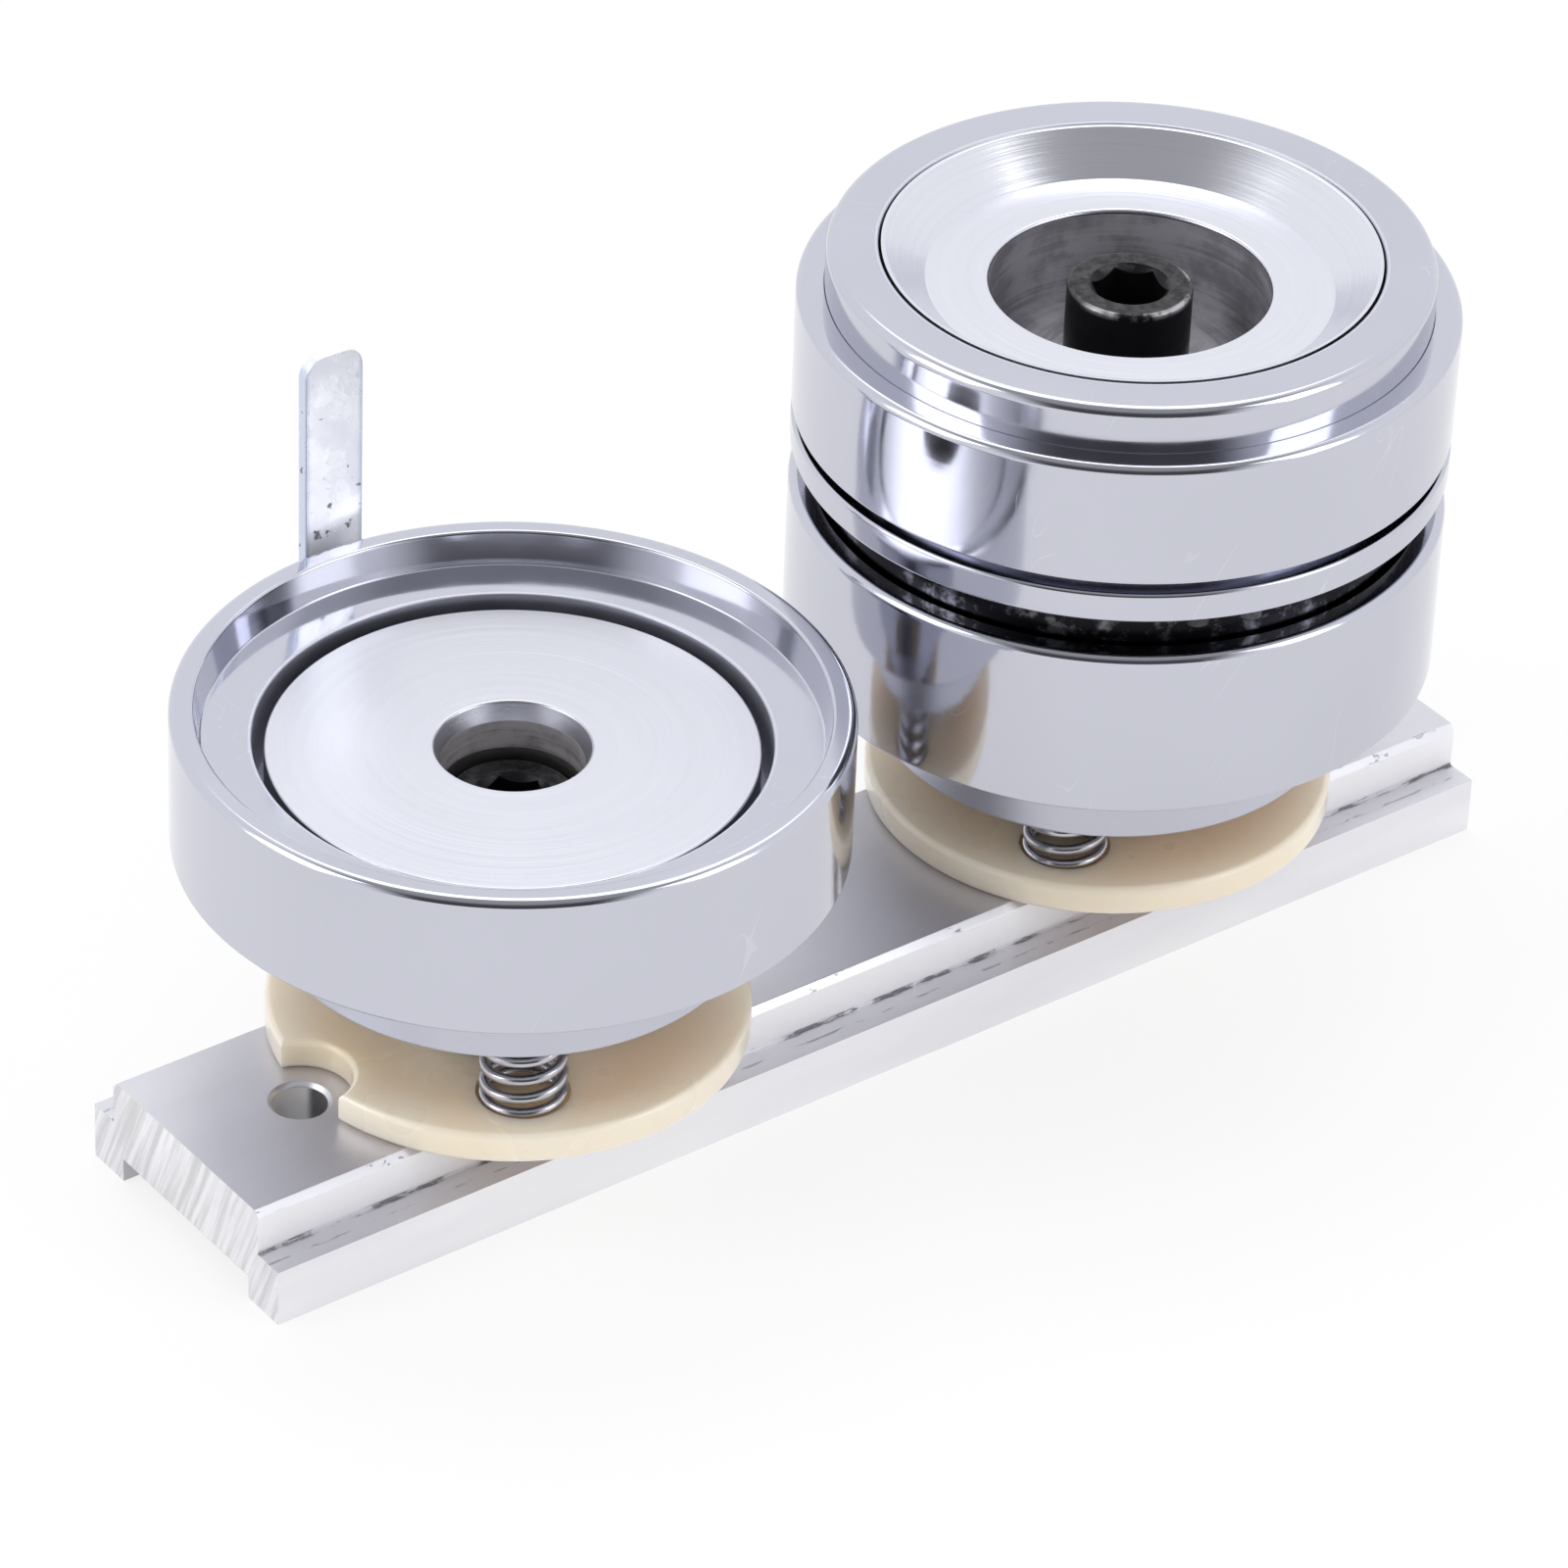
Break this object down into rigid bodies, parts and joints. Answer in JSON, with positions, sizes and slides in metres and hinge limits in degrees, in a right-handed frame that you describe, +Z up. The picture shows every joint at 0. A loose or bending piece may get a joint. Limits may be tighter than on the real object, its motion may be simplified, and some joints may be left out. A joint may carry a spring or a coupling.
{
  "type": "press die set",
  "caption": "Badge press die set: sprung lower dies on nylon base discs and an aluminium slide rail, a matching upper die and a pull strip.",
  "frame": {"origin": "under the middle of the slide rail, on the plane of the rail's feet", "axes": "+X along the rail from the pick-up die to the crimp die, +Y towards the side of the pull strip, +Z up"},
  "size_m": [0.181, 0.083, 0.0906],
  "materials": {
    "rail_aluminium": "extruded, satin, with sawn ends",
    "nylon": "smooth moulded, slightly translucent",
    "polished_ring": "mirror-polished turned surface",
    "turned_face": "fine concentric turning marks",
    "turned_cup": "bright turned cone and satin face",
    "stem_steel": "turned",
    "black_oxide": "black oxide, satin",
    "spring_wire": "bright zinc-plated wire",
    "zinc_strip": "bright zinc plating, scuffed",
    "retaining_steel": "dark phosphated spring steel"
  },
  "bodies": {
    "base": {"slide_rail": "rail_aluminium", "base_disc_a": "nylon", "base_disc_b": "nylon", "stem_a": "stem_steel", "stem_b": "stem_steel", "core_plate_a": "turned_face", "core_plate_b": "turned_face", "core_screw_a": "black_oxide", "core_screw_b": "black_oxide", "handle_strip": "zinc_strip", "handle_screw": "zinc_strip", "springs_a": "spring_wire", "springs_b": "spring_wire"},
    "ring_a": {"float_ring_a": "polished_ring"},
    "ring_b": {"float_ring_b": "polished_ring"},
    "upper_die": {"upper_carrier": "polished_ring", "outer_sleeve": "polished_ring", "snap_ring": "retaining_steel", "inner_circlip": "retaining_steel", "punch_spring": "spring_wire"},
    "band": {"end_band": "polished_ring"},
    "punch": {"ram_cup": "turned_cup", "punch_plate": "turned_face", "punch_screw": "black_oxide"}
  },
  "joints": [
    {"name": "ring_a_press", "type": "slide", "parent": "base", "child": "ring_a", "axis": [0, 0, -1], "range_m": [0, 0.008], "stiffness_N_per_m": 16400, "springref_m": -0.004, "deforming": ["springs_a"]},
    {"name": "ring_b_press", "type": "slide", "parent": "base", "child": "ring_b", "axis": [0, 0, -1], "range_m": [0, 0.006], "stiffness_N_per_m": 20600, "springref_m": -0.004, "deforming": ["springs_b"]},
    {"name": "upper_die_lift", "type": "slide", "parent": "ring_b", "child": "upper_die", "axis": [0, 0, 1], "range_m": [0, 0.08]},
    {"name": "punch_press", "type": "slide", "parent": "upper_die", "child": "punch", "axis": [0, 0, -1], "range_m": [0, 0.004], "stiffness_N_per_m": 540, "springref_m": -0.015, "deforming": ["punch_spring"]},
    {"name": "band_rise", "type": "slide", "parent": "upper_die", "child": "band", "axis": [0, 0, 1], "range_m": [0, 0.0012]}
  ]
}
